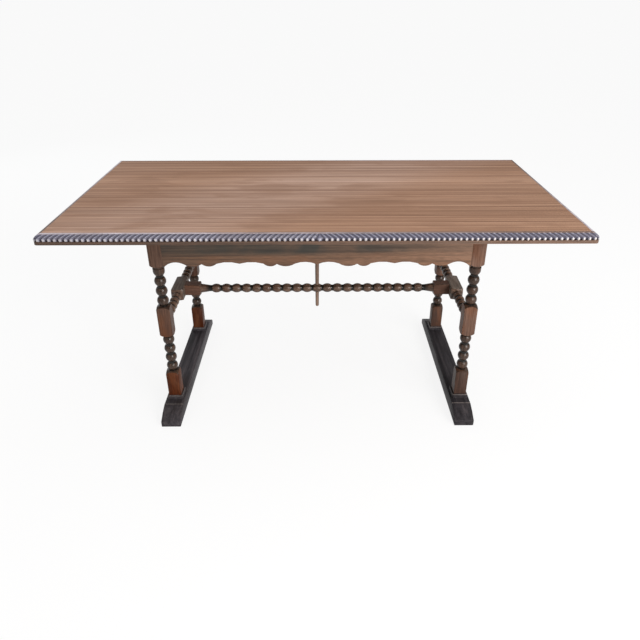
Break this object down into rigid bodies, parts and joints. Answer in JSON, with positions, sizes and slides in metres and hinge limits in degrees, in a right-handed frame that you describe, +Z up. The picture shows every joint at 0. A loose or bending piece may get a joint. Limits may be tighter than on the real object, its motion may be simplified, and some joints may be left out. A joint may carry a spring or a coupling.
{
  "type": "refectory table",
  "caption": "Refectory table: plank top with gadrooned edge, bobbin-turned legs and stretchers, wavy aprons and sled feet.",
  "frame": {"origin": "on the floor, under the middle of the top", "axes": "+X along the length of the top, +Y from the front long side to the rear one, +Z up"},
  "size_m": [1.672, 0.88, 0.76],
  "materials": {
    "top_wood": "polished reddish brown boards with fine straight grain",
    "edge_wood": "dark polished carved edge",
    "rail_wood": "dark waxed brown",
    "leg_wood": "dark polished brown, worn lighter on the high spots",
    "foot_wood": "dark waxed brown",
    "peg_wood": "bare mid brown",
    "inner_wood": "unfinished",
    "screw_steel": "dull steel"
  },
  "bodies": {
    "root": {"top_board_1": "top_wood", "top_board_2": "top_wood", "top_board_3": "top_wood", "top_board_4": "top_wood", "top_board_5": "top_wood", "edge_moulding_front": "edge_wood", "edge_moulding_rear": "edge_wood", "edge_moulding_left": "edge_wood", "edge_moulding_right": "edge_wood", "front_apron": "rail_wood", "rear_apron": "rail_wood", "left_end_rail": "rail_wood", "right_end_rail": "rail_wood", "leg_front_left": "leg_wood", "leg_front_right": "leg_wood", "leg_rear_left": "leg_wood", "leg_rear_right": "leg_wood", "foot_left": "foot_wood", "foot_right": "foot_wood", "side_stretcher_left": "leg_wood", "side_stretcher_right": "leg_wood", "long_stretcher": "leg_wood", "centre_peg": "peg_wood", "centre_bearer": "inner_wood", "top_buttons": "inner_wood", "button_screws": "screw_steel"}
  },
  "joints": []
}
